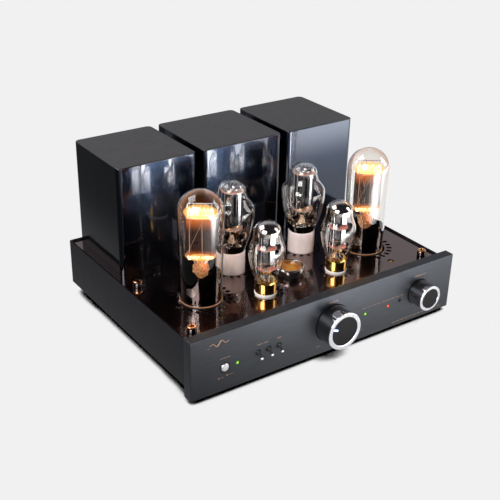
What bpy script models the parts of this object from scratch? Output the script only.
"""Tube amplifier: an integrated valve amplifier with six plugged-in tubes, three transformer
covers and a thick front plate. Millimetres below, turned into metres as each shape is made.

The origin is on the floor under the middle of the amplifier. +X runs along the front plate to its
right end as seen from the front, +Y to the back and +Z up.
"""

import math

import bmesh
import bpy
from mathutils import Vector

MM = 0.001
GAP = 0.3  # clearance between neighbouring pieces

# Overall size
WIDTH = 420.0
DEPTH = 378.0  # from the volume knob's face to the ends of the speaker posts
PLATE_Z0 = 5.7  # daylight under the front plate
PLATE_HEIGHT = 81.1
PLATE_THICK = 14.5
PLATE_BEVEL = 1.0
VOLUME_REACH = 26.2  # how far the volume knob stands out of the plate
FRONT = -DEPTH / 2 + VOLUME_REACH
PLATE_BACK = FRONT + PLATE_THICK

# Chassis
SIDE = 204.4  # outer face of the side panels
SIDE_THICK = 2.5
CHASSIS_Z0 = 14.0
CHASSIS_Z1 = 79.5
REAR = 169.2
REAR_THICK = 2.0
INSIDE = SIDE - SIDE_THICK - GAP
INNER_FRONT = PLATE_BACK + GAP
INNER_REAR = REAR - REAR_THICK - GAP
COVER_THICK = 2.0
DECK = 77.0  # top surface of the deck
DECK_THICK = 2.5
FOOT_RADIUS = 21.0
FEET = {
    "front_left": (-165.0, -112.0),
    "front_right": (165.0, -112.0),
    "rear_left": (-165.0, 132.0),
    "rear_right": (165.0, 132.0),
}

# Transformer covers
COVER_Y = (39.8, 164.3)
COVER_TOP = 225.9
COVER_WALL = 2.0
COVER_CORNER = 6.5
CORE_BEVEL = 4.2
COVERS = {"left": (-189.8, -74.4), "center": (-63.3, 63.3), "right": (74.4, 189.8)}

# Tubes, by the distance of their axes from the middle plane
POWER_X, POWER_Y = 133.5, -64.3
DRIVER_X, DRIVER_Y = 58.0, -19.2
SIGNAL_X, SIGNAL_Y = 57.5, -97.3
GLASS = 1.5
POWER_HOLE, DRIVER_HOLE, SIGNAL_HOLE = 30.5, 20.5, 17.0
BOARD_Z, BOARD_THICK = 52.0, 1.6
SEAT = 70.0  # underside of the bases that plug into the driver board

# Cage studs, bias trimmers and the meter on the deck
STUDS = {
    "front_left": (-185.6, -127.5),
    "front_right": (185.0, -127.5),
    "rear_left": (-186.0, 4.5),
    "rear_right": (186.0, 4.5),
}
STUD_RADIUS, STUD_BORE, STUD_HEIGHT = 6.0, 2.5, 8.0
STUD_SHANK, STUD_HOLE = 3.0, 3.4
TRIMMER_X, TRIMMER_Y = 137.5, -117.8
TRIMMER_RADIUS, TRIMMER_HOLE = 3.1, 4.5
METER_Y = -71.3
METER_RADIUS, METER_INNER = 19.8, 15.4
METER_NECK, METER_HOLE = 17.0, 17.6
METER_FLOOR, METER_SEAT, METER_TOP = DECK - 9.5, DECK + 7.0, DECK + 11.9
NEEDLE_LENGTH = 17.5
NEEDLE_REST = math.radians(38.0)  # the needle's lean to the left when the meter reads nothing

# Controls on the front plate
CONTROL_Z = 46.9
VOLUME_RADIUS = 25.5
SELECTOR_X, SELECTOR_RADIUS, SELECTOR_REACH = 149.2, 17.8, 23.8
SHAFT = 3.0
SHAFT_DEPTH = 12.0  # how far the shafts run on behind the plate
BODY_DEPTH = 22.0  # potentiometer and selector switch
BUTTON_X, BUTTON_Z, BUTTON_RADIUS, BUTTON_REACH = -161.8, 37.9, 5.6, 1.2
TOGGLES = {1: -113.7, 2: -98.3, 3: -83.1}
TOGGLE_Z = 42.2
TOGGLE_DROP = math.radians(28.0)  # how far the levers hang below level
TOGGLE_PIVOT = FRONT + 1.0
TOGGLE_HOLE, TOGGLE_BUSHING = 3.8, 3.4
BOARD_FACE = 15.0  # from the plate's back to the face of the board that carries the switches

# Rear connections
TERMINAL_Z = 46.0
TERMINAL_X = (-186.0, -26.0)
POSTS = {
    "left_common": -172.0,
    "left_low": -148.0,
    "left_high": -124.0,
    "right_common": -88.0,
    "right_low": -64.0,
    "right_high": -40.0,
}
JACK_STRIP_X = (-12.0, 106.0)
JACK_X = (2.0, 20.0, 38.0, 56.0, 74.0, 92.0)
FUSE_X = 121.0
INLET_X = 163.0

FINISHES = {  # colour, roughness, metallic
    "plate": ((0.10, 0.11, 0.13), 0.42, 0.9),
    "panel": ((0.030, 0.028, 0.032), 0.35, 0.5),
    "deck": ((0.012, 0.009, 0.009), 0.06, 0.0),
    "cover": ((0.020, 0.022, 0.028), 0.08, 0.3),
    "core": ((0.06, 0.05, 0.05), 0.7, 0.4),
    "chrome": ((0.82, 0.82, 0.85), 0.08, 1.0),
    "steel": ((0.55, 0.55, 0.58), 0.3, 1.0),
    "gold": ((0.85, 0.58, 0.20), 0.18, 1.0),
    "glass": ((0.95, 0.93, 0.90), 0.02, 0.0),
    "ceramic": ((0.86, 0.80, 0.78), 0.35, 0.0),
    "black": ((0.015, 0.015, 0.016), 0.4, 0.0),
    "rubber": ((0.02, 0.02, 0.02), 0.8, 0.0),
    "board": ((0.05, 0.16, 0.08), 0.5, 0.0),
    "red": ((0.45, 0.03, 0.03), 0.35, 0.0),
    "needle": ((0.05, 0.03, 0.02), 0.5, 0.0),
}

PARTS = bpy.data.collections.new("tube_amplifier")
TOOLS = bpy.data.collections.new("cutters")


def clear_scene():
    for obj in list(bpy.data.objects):
        bpy.data.objects.remove(obj, do_unlink=True)
    for collection in (PARTS, TOOLS):
        bpy.context.scene.collection.children.link(collection)


def add(name, data, finish, at=(0, 0, 0), rotation=(0, 0, 0)):
    """Puts a mesh or a curve in the scene as a named piece with its own material."""
    obj = bpy.data.objects.new(name, data)
    obj.location = Vector(at) * MM
    obj.rotation_euler = rotation
    if finish is None:
        TOOLS.objects.link(obj)
        obj.hide_render = True
        obj.display_type = "WIRE"
        return obj
    PARTS.objects.link(obj)
    colour, roughness, metallic = FINISHES[finish]
    material = bpy.data.materials.new(name)
    material.use_nodes = True
    shader = material.node_tree.nodes["Principled BSDF"]
    shader.inputs["Base Color"].default_value = (*colour, 1.0)
    shader.inputs["Roughness"].default_value = roughness
    shader.inputs["Metallic"].default_value = metallic
    if finish == "glass":
        shader.inputs["Transmission Weight"].default_value = 1.0
    data.materials.append(material)
    return obj


def box(name, finish, x, y, z, bevel=0.0):
    """A block between two values on each axis, with its long edges rounded if bevel is set."""
    bm = bmesh.new()
    bmesh.ops.create_cube(bm, size=1.0)
    middle = Vector([(a + b) / 2 for a, b in (x, y, z)]) * MM
    for v in bm.verts:
        v.co = Vector([c * (b - a) * MM for c, (a, b) in zip(v.co, (x, y, z))])
    mesh = bpy.data.meshes.new(name)
    bm.to_mesh(mesh)
    bm.free()
    obj = add(name, mesh, finish, middle / MM)
    if bevel:
        modifier = obj.modifiers.new("edges", "BEVEL")
        modifier.width = bevel * MM
        modifier.segments = 2
    return obj


def turned(name, finish, profile, at, axis="Z", steps=24, ring=False):
    """Turns (radius, height) points about an axis. They run down the outer side; ring closes
    them into a loop around a bore. Axis -Y stands the shape out of the front, +Y out of the back."""
    mesh = bpy.data.meshes.new(name)
    edges = [(i, i + 1) for i in range(len(profile) - 1)]
    if ring:
        edges.append((len(profile) - 1, 0))
    mesh.from_pydata([(r * MM, 0.0, h * MM) for r, h in profile], edges, [])
    turn = {"Z": 0.0, "-Y": math.pi / 2, "+Y": -math.pi / 2}[axis]
    obj = add(name, mesh, finish, at, (turn, 0, 0))
    screw = obj.modifiers.new("turn", "SCREW")
    screw.steps = screw.render_steps = steps
    screw.use_merge_vertices = True
    screw.merge_threshold = 0.00001
    screw.use_smooth_shade = True
    return obj


def rod(name, radius, at, low, high, axis="Z", steps=24, finish=None):
    """A plain cylinder from low to high along its axis, as a cutter unless it has a finish."""
    profile = [(0, high), (radius, high), (radius, low), (0, low)]
    return turned(name, finish, profile, at, axis, steps)


def combine(obj, others, operation):
    """Cuts other shapes from a piece, or joins them to it."""
    for other in others:
        modifier = obj.modifiers.new(other.name, "BOOLEAN")
        modifier.operation = operation
        modifier.object = other
    return obj


def cut(obj, *others):
    return combine(obj, others, "DIFFERENCE")


def join(obj, *others):
    return combine(obj, others, "UNION")


def sheet(name, finish, outline, z0, z1, at=(0, 0)):
    """A flat piece of even thickness with the given outline, as a mesh that can be cut."""
    curve = bpy.data.curves.new(name, "CURVE")
    curve.dimensions = "2D"
    curve.fill_mode = "BOTH"
    curve.extrude = (z1 - z0) / 2 * MM
    spline = curve.splines.new("POLY")
    spline.points.add(len(outline) - 1)
    for point, (x, y) in zip(spline.points, outline):
        point.co = (x * MM, y * MM, 0, 1)
    spline.use_cyclic_u = True
    guide = bpy.data.objects.new(name + "_outline", curve)
    TOOLS.objects.link(guide)
    bpy.context.view_layer.update()
    mesh = bpy.data.meshes.new_from_object(guide.evaluated_get(bpy.context.evaluated_depsgraph_get()))
    bpy.data.objects.remove(guide, do_unlink=True)
    bm = bmesh.new()
    bm.from_mesh(mesh)
    bmesh.ops.remove_doubles(bm, verts=bm.verts, dist=0.00001)
    bm.to_mesh(mesh)
    bm.free()
    mesh.materials.clear()
    return add(name, mesh, finish, (at[0], at[1], (z0 + z1) / 2))


def panel(name, finish, x, y, z, holes=(), bevel=0.0):
    return cut(box(name, finish, x, y, z, bevel), *holes)


# ---------------------------------------------------------------- chassis


def chassis():
    out, through = FRONT - 5, PLATE_BACK + 5
    holes = [
        rod("volume_hole", SHAFT + 1, (0, 0, CONTROL_Z), -through, -out, "-Y"),
        rod("selector_hole", SHAFT + 1, (SELECTOR_X, 0, CONTROL_Z), -through, -out, "-Y"),
        rod("button_hole", BUTTON_RADIUS + 0.7, (BUTTON_X, 0, BUTTON_Z), -through, -out, "-Y"),
    ]
    holes += [
        rod(f"toggle_hole_{n}", TOGGLE_HOLE, (x, 0, TOGGLE_Z), -through, -out, "-Y", 16)
        for n, x in TOGGLES.items()
    ]
    panel(
        "front_plate", "plate", (-WIDTH / 2, WIDTH / 2), (FRONT, PLATE_BACK),
        (PLATE_Z0, PLATE_Z0 + PLATE_HEIGHT), holes, PLATE_BEVEL,
    )
    height = (CHASSIS_Z0, CHASSIS_Z1)
    for name, side in (("left", -1), ("right", 1)):
        x = sorted((side * SIDE, side * (SIDE - SIDE_THICK)))
        box(f"{name}_side_panel", "panel", x, (INNER_FRONT, REAR), height)
    openings = [
        box("jack_opening", None, (-8, 102), (REAR - 9, REAR + 9), (TERMINAL_Z - 12, TERMINAL_Z + 12)),
        box("inlet_opening", None, (INLET_X - 14.5, INLET_X + 14.5), (REAR - 9, REAR + 9),
            (TERMINAL_Z - 10.8, TERMINAL_Z + 10.8)),
        rod("fuse_opening", 5.0, (FUSE_X, 0, TERMINAL_Z), REAR - 9, REAR + 9, "+Y", 16),
    ]
    openings += [
        rod(f"{name}_opening", 4.5, (x, 0, TERMINAL_Z), REAR - 9, REAR + 9, "+Y", 12)
        for name, x in POSTS.items()
    ]
    panel("rear_panel", "panel", (-INSIDE, INSIDE), (REAR - REAR_THICK, REAR), height, openings)
    level, below = DECK + 5, DECK - DECK_THICK - 5
    holes = []
    for side in (-1, 1):
        for kind, x, y, radius in (
            ("power", POWER_X, POWER_Y, POWER_HOLE),
            ("driver", DRIVER_X, DRIVER_Y, DRIVER_HOLE),
            ("signal", SIGNAL_X, SIGNAL_Y, SIGNAL_HOLE),
            ("trimmer", TRIMMER_X, TRIMMER_Y, TRIMMER_HOLE),
        ):
            steps = 12 if kind == "trimmer" else 24
            holes.append(rod(f"{kind}_hole", radius, (side * x, y, 0), below, level, "Z", steps))
    holes.append(rod("meter_hole", METER_HOLE, (0, METER_Y, 0), below, level))
    holes += [rod("stud_hole", STUD_HOLE, (*at, 0), below, level, "Z", 12) for at in STUDS.values()]
    inner = (-INSIDE, INSIDE), (INNER_FRONT, INNER_REAR)
    panel("top_deck", "deck", *inner, (DECK - DECK_THICK, DECK), holes)
    box("bottom_cover", "panel", *inner, (CHASSIS_Z0, CHASSIS_Z0 + COVER_THICK))
    top = CHASSIS_Z0 - GAP
    foot = [
        (0, top), (FOOT_RADIUS - 2, top), (FOOT_RADIUS, top - 1.5), (FOOT_RADIUS, 2),
        (FOOT_RADIUS - 2, 0), (0, 0),
    ]
    for name, at in FEET.items():
        turned(f"foot_{name}", "rubber", foot, (*at, 0), steps=20)


def transformers():
    """Rounded steel covers, open below, each filled by its potted transformer."""
    cores = {"left": "output_transformer_left", "center": "mains_transformer",
             "right": "output_transformer_right"}
    z0 = DECK + GAP
    for name, x in COVERS.items():
        size = (x[1] - x[0], COVER_Y[1] - COVER_Y[0], COVER_TOP - z0)
        bm = bmesh.new()
        bmesh.ops.create_cube(bm, size=1.0)
        for v in bm.verts:
            v.co = Vector([c * s * MM for c, s in zip(v.co, size)])
        upright = [e for e in bm.edges if abs(e.verts[0].co.z - e.verts[1].co.z) > 0.01]
        bmesh.ops.bevel(bm, geom=upright, offset=COVER_CORNER * MM, segments=4, affect="EDGES",
                        profile=0.5)
        bmesh.ops.delete(bm, geom=[f for f in bm.faces if f.normal.z < -0.9], context="FACES")
        mesh = bpy.data.meshes.new(name)
        bm.to_mesh(mesh)
        bm.free()
        middle = ((x[0] + x[1]) / 2, sum(COVER_Y) / 2, (z0 + COVER_TOP) / 2)
        cover = add(f"transformer_cover_{name}", mesh, "cover", middle)
        shell = cover.modifiers.new("wall", "SOLIDIFY")
        shell.thickness = COVER_WALL * MM
        shell.offset = -1
        shell.use_even_offset = True
        inset = COVER_WALL + 0.5
        box(cores[name], "core", (x[0] + inset, x[1] - inset), (COVER_Y[0] + inset, COVER_Y[1] - inset),
            (z0, COVER_TOP - inset), bevel=CORE_BEVEL)


# ---------------------------------------------------------------- tubes


def arc(radius, centre, rise, count):
    """Points of a dome from its apex down to its widest point."""
    angles = [math.pi / 2 * (1 - i / count) for i in range(count + 1)]
    return [(radius * math.cos(a) if i else 0.0, centre + rise * math.sin(a)) for i, a in enumerate(angles)]


def envelope(name, outer, at, steps):
    """A glass bulb, open at its foot, from its outer outline top to bottom. The wall is taken
    square to the outline, so that it is of even thickness."""
    inner = []
    for i, (r, h) in enumerate(outer):
        (r0, h0), (r1, h1) = outer[max(i - 1, 0)], outer[min(i + 1, len(outer) - 1)]
        if i == 0:
            inner.append((0.0, h - GLASS))
            continue
        run, fall = r1 - r0, h0 - h1
        length = math.hypot(run, fall)
        inner.append((r - GLASS * fall / length, h - GLASS * run / length))
    inner[-1] = (outer[-1][0] - GLASS, outer[-1][1])
    turned(name, "glass", outer + inner[::-1], at, steps=steps)


def bulb(foot, foot_r, wide, wide_r, shoulder, shoulder_r, rise):
    """The outline of a bulb with a narrow dome over a wide middle, tapering to its foot."""
    swell, taper = wide_r - shoulder_r, wide_r - foot_r
    upper = [
        (shoulder_r + swell * (1 - math.cos(math.pi * t)) / 2, shoulder + (wide - shoulder) * t)
        for t in (0.34, 0.66)
    ]
    lower = [(foot_r + taper * t, foot + (wide - foot) * u) for t, u in ((0.84, 0.62), (0.42, 0.26))]
    crown = arc(shoulder_r, shoulder + 3, rise, 4)
    return crown + upper + [(wide_r, wide)] + lower + [(foot_r, foot)]


def plugged(name, finish, x, y, profile, anode, pins, pin_r, pin_z, steps=20):
    """A tube's base with its pins, its glass stem and the anode that the stem carries."""
    base = turned(name, finish, profile, (x, y, 0), steps=steps)
    wide, deep, low, high = anode
    box_x, box_y = (x - wide / 2, x + wide / 2), (y - deep / 2, y + deep / 2)
    bottom = profile[-1][1]
    legs = [rod("pin", pin_r, (x + px, y + py, 0), bottom - pin_z, bottom + 1, "Z", 6) for px, py in pins]
    return join(base, box("anode", None, box_x, box_y, (low, high)), *legs)


def around(count, radius, start):
    angles = [math.radians(start + 360 * i / count) for i in range(count)]
    return [(radius * math.cos(a), radius * math.sin(a)) for a in angles]


def tubes():
    foot = DECK + 1
    power_pins, driver_pins = around(4, 13.0, 51.0), around(4, 8.2, 51.0)
    board = sheet(
        "driver_board", "board",
        [(-152, -124.6), (152, -124.6), (152, -104), (92, -104),
         (92, 8), (-92, 8), (-92, -104), (-152, -104)],
        BOARD_Z, BOARD_Z + BOARD_THICK,
    )
    carried, bores = [], []
    for name, side in (("left", -1), ("right", 1)):
        x = side * POWER_X
        outline = arc(29.0, DECK + 118, 29.0, 5) + [(26.6, foot)]
        envelope(f"power_tube_glass_{name}", outline, (x, POWER_Y, 0), 22)
        top = foot - GAP
        plugged(
            f"power_tube_base_{name}", "steel", x, POWER_Y,
            [(0, DECK + 66), (7, DECK + 66), (9, top + 6), (9, top), (26.4, top), (26.4, 44.3), (0, 44.3)],
            (37, 20, DECK + 62, DECK + 114), power_pins, 2.4, 10,
        )
        socket = turned(
            f"power_tube_socket_{name}", "ceramic",
            [(0, 44), (27, 44), (27, 66), (31.5, 66), (31.5, 38), (0, 38)],
            (x, POWER_Y, 0), steps=20,
        )
        cut(socket, *[
            rod("pin_bore", 3.0, (x + a, POWER_Y + b, 0), 30, 50, "Z", 8) for a, b in power_pins
        ])

        x = side * DRIVER_X
        foot_d = DECK + 28.8 + GAP
        outline = bulb(foot_d, 17.6, DECK + 86, 29.8, DECK + 110, 17.9, 13.5)
        envelope(f"driver_tube_glass_{name}", outline, (x, DRIVER_Y, 0), 18)
        top = foot_d - GAP
        plugged(
            f"driver_tube_base_{name}", "ceramic", x, DRIVER_Y,
            [(0, DECK + 66), (5, DECK + 66), (6, top + 4), (6, top), (18.2, top), (18.2, SEAT), (0, SEAT)],
            (26, 13, DECK + 62, DECK + 108), driver_pins, 1.9, 11,
        )
        carried.append(rod("driver_socket", 20.0, (x, DRIVER_Y, 0), BOARD_Z + 1, SEAT - GAP, "Z", 16))
        bores += [
            rod("pin_bore", 2.4, (x + a, DRIVER_Y + b, 0), SEAT - 13, SEAT + 5, "Z", 8)
            for a, b in driver_pins
        ]

        x = side * SIGNAL_X
        foot_s = DECK + 20 + GAP
        outline = bulb(foot_s, 14.0, DECK + 60, 23.2, DECK + 84, 17.0, 13.0)
        envelope(f"signal_tube_glass_{name}", outline, (x, SIGNAL_Y, 0), 16)
        top = foot_s - GAP
        plugged(
            f"signal_tube_base_{name}", "gold", x, SIGNAL_Y,
            [(0, DECK + 40), (3.5, DECK + 40), (4.5, top + 3), (4.5, top),
             (14.6, top), (14.6, SEAT), (0, SEAT)],
            (20, 9, DECK + 36, DECK + 80), [(0, 0)], 4.0, 10,
        )
        carried.append(rod("signal_socket", 16.0, (x, SIGNAL_Y, 0), BOARD_Z + 1, SEAT - GAP, "Z", 16))
        bores.append(rod("key_bore", 4.6, (x, SIGNAL_Y, 0), SEAT - 12, SEAT + 5, "Z", 12))

        x = side * TRIMMER_X
        carried.append(rod("trimmer_body", 6.0, (x, TRIMMER_Y, 0), BOARD_Z + 1, 66.0, "Z", 10))
        bores.append(rod("trimmer_bore", 3.8, (x, TRIMMER_Y, 0), 58.0, 70.0, "Z", 10))
        screw = rod(
            f"bias_trimmer_{name}", TRIMMER_RADIUS, (x, TRIMMER_Y, 0), 59.0, DECK - 0.8, "Z", 12, "gold"
        )
        across = (TRIMMER_Y - 5, TRIMMER_Y + 5)
        cut(screw, box("slot", None, (x - 0.5, x + 0.5), across, (DECK - 2.2, DECK + 2)))
    join(board, *carried)
    cut(board, *bores)


# ---------------------------------------------------------------- deck fittings


def deck_fittings():
    top = DECK + GAP + STUD_HEIGHT
    r, bore = STUD_RADIUS, STUD_BORE
    stud = [
        (r - 0.8, top), (r, top - 0.8), (r, DECK + GAP), (STUD_SHANK, DECK + GAP),
        (STUD_SHANK, DECK - 8), (1.2, DECK - 8), (1.2, DECK + 1.8), (bore, DECK + 1.8), (bore, top),
    ]
    for name, at in STUDS.items():
        turned(f"cage_stud_{name}", "chrome", stud, (*at, 0), ring=True, steps=12)
    rim, lip = METER_RADIUS, METER_INNER
    cup = [
        (0, METER_FLOOR), (lip, METER_FLOOR), (lip, METER_SEAT), (lip + 1.6, METER_SEAT),
        (lip + 1.6, METER_TOP), (rim - 1, METER_TOP - 0.2), (rim, METER_TOP - 1.7), (rim, DECK + 6.2),
        (METER_NECK, DECK + 6.2), (METER_NECK, DECK - 12), (0, DECK - 12),
    ]
    turned("meter_housing", "chrome", cup, (0, METER_Y, 0), steps=20)
    lens = METER_SEAT + GAP
    rod("meter_lens", lip + 1.2, (0, METER_Y, 0), lens, lens + 1.5, "Z", 20, "glass")
    hub = [(1.6 * math.cos(a), 1.6 * math.sin(a)) for a in [math.radians(120 + 30 * i) for i in range(11)]]
    blade = [(0.25, NEEDLE_LENGTH), (-0.25, NEEDLE_LENGTH)]
    needle = sheet("meter_needle", "needle", hub + blade, DECK - 7.5, DECK - 6.9, (0, METER_Y - 8))
    needle.rotation_euler.z = NEEDLE_REST


# ---------------------------------------------------------------- front controls


def knob(name, radius, reach, x, bevel):
    """A turned knob with its shaft, standing out of the plate. Heights run out of the front."""
    front, back, end = reach, 1.0, -PLATE_THICK - SHAFT_DEPTH
    profile = [
        (0, front - 1.2), (radius * 0.76, front - 1.2), (radius * 0.78, front - 0.2), (radius - bevel, front),
        (radius, front - bevel), (radius, back), (radius - 4, back), (radius - 4, back + 3),
        (SHAFT + 1.5, back + 3), (SHAFT, back), (SHAFT, end), (0, end),
    ]
    turned(name, "chrome", profile, (x, FRONT, CONTROL_Z), "-Y", steps=24)


def controls():
    knob("volume_knob", VOLUME_RADIUS, VOLUME_REACH, 0.0, 1.6)
    knob("selector_knob", SELECTOR_RADIUS, SELECTOR_REACH, SELECTOR_X, 1.3)
    start = PLATE_BACK + GAP
    for name, x, half in (("volume_potentiometer", 0.0, 14.0), ("selector_switch", SELECTOR_X, 15.0)):
        body = box(name, "steel", (x - half, x + half), (start, start + BODY_DEPTH),
                   (CONTROL_Z - half, CONTROL_Z + half), 1.5)
        cut(body, rod("shaft_bore", SHAFT + 0.6, (x, 0, CONTROL_Z), start - 5, start + 14, "+Y", 16))
    r = BUTTON_RADIUS
    button = [
        (0, BUTTON_REACH), (r - 1.2, BUTTON_REACH), (r, BUTTON_REACH - 1), (r, -PLATE_THICK + 3.5),
        (2, -PLATE_THICK + 3.5), (2, -PLATE_THICK - 9), (0, -PLATE_THICK - 9),
    ]
    turned("power_button", "chrome", button, (BUTTON_X, FRONT, BUTTON_Z), "-Y", steps=24)
    lever = [(0, 11.6), (1.5, 11.3), (1.9, 10.0), (1.3, 2.3)]
    lever += [(2.6 * math.cos(a), 2.6 * math.sin(a)) for a in map(math.radians, (30, -10, -50))]
    lever += [(0, -2.6)]
    for n, x in TOGGLES.items():
        at = (x, TOGGLE_PIVOT, TOGGLE_Z)
        obj = turned(f"toggle_lever_{n}", "chrome", lever, at, "-Y", steps=10)
        obj.rotation_euler.x += TOGGLE_DROP
    face = start + BOARD_FACE
    board = box("control_board", "board", (BUTTON_X - 13, -72), (face, face + BOARD_THICK), (28, 58))
    bodies = [
        box("power_switch", None, (BUTTON_X - 9, BUTTON_X + 9), (start + 4, face + 1),
            (BUTTON_Z - 8, BUTTON_Z + 8)),
    ]
    for x in TOGGLES.values():
        bodies.append(box("toggle_body", None, (x - 5.5, x + 5.5), (start + 1, face + 1),
                          (TOGGLE_Z - 7, TOGGLE_Z + 7)))
        bodies.append(rod("bushing", TOGGLE_BUSHING, (x, 0, TOGGLE_Z), FRONT + 4.3, start + 5, "+Y", 16))
    join(board, *bodies)
    cut(board, rod("stem_bore", 2.6, (BUTTON_X, 0, BUTTON_Z), start - 5, start + 13.5, "+Y", 12))


# ---------------------------------------------------------------- rear connections


def rear_connections():
    outside = REAR + GAP
    z = TERMINAL_Z
    board = box("speaker_terminal_board", "black", TERMINAL_X, (outside, outside + 2.5), (z - 15, z + 15))
    join(board, *[rod("stud", 3.0, (x, 0, z), REAR - 12, outside + 18.5, "+Y", 12) for x in POSTS.values()])
    inner, outer = outside + 2.5 + GAP, DEPTH / 2
    length = outer - inner
    cap = [
        (7.2, length), (8.4, length - 1.2), (8.4, 3), (6.6, 1.4), (6.6, 0), (3.5, 0), (3.5, length),
    ]
    for name, x in POSTS.items():
        finish = "black" if name.endswith("common") else "red"
        turned(f"speaker_post_{name}", finish, cap, (x, inner, z), "+Y", 12, ring=True)

    strip = box("input_jack_strip", "black", JACK_STRIP_X, (outside, outside + 2), (z - 14, z + 14))
    body = box("jack_body", None, (-7, 101), (REAR - 14, outside + 1), (z - 11, z + 11))
    barrel = [(0, 3), (1.8, 3), (1.8, 10), (4.2, 10), (4.2, 0.5), (0, 0.5)]
    join(strip, body, *[turned("barrel", None, barrel, (x, outside, z), "+Y", 10) for x in JACK_X])

    turned(
        "fuse_cap", "black",
        [(0, 9), (5.6, 9), (6.8, 8), (7.2, 0), (3.9, 0), (3.9, -9), (0, -9)],
        (FUSE_X, outside, z), "+Y", 16,
    )

    x = INLET_X
    inlet = box("iec_inlet", "black", (x - 25, x + 25), (outside, outside + 3), (z - 14, z + 14), 1.0)
    shell = box("inlet_shell", None, (x - 14, x + 14), (REAR - 22, outside + 1), (z - 10.3, z + 10.3))
    cavity = box("inlet_cavity", None, (x - 12.2, x + 12.2), (REAR - 17, outside + 6), (z - 8.3, z + 8.3))
    join(inlet, shell)
    cut(inlet, cavity)
    blades = [
        box("blade", None, (x + dx - 1, x + dx + 1), (REAR - 20, REAR - 6), (z + dz - 2, z + dz + 2))
        for dx, dz in ((-7, -2), (0, 2), (7, -2))
    ]
    join(inlet, *blades)


def power_supply():
    """Filter capacitors on their board, under the mains transformer."""
    board = box("power_supply_board", "board", (-62, 62), (45, 150), (24, 25.6))
    cans = [
        rod("capacitor", 13.0, (x, y, 0), 25, 66, "Z", 12)
        for x in (-42, -14, 14, 42) for y in (72, 122)
    ]
    join(board, *cans)


clear_scene()
chassis()
transformers()
tubes()
deck_fittings()
controls()
rear_connections()
power_supply()
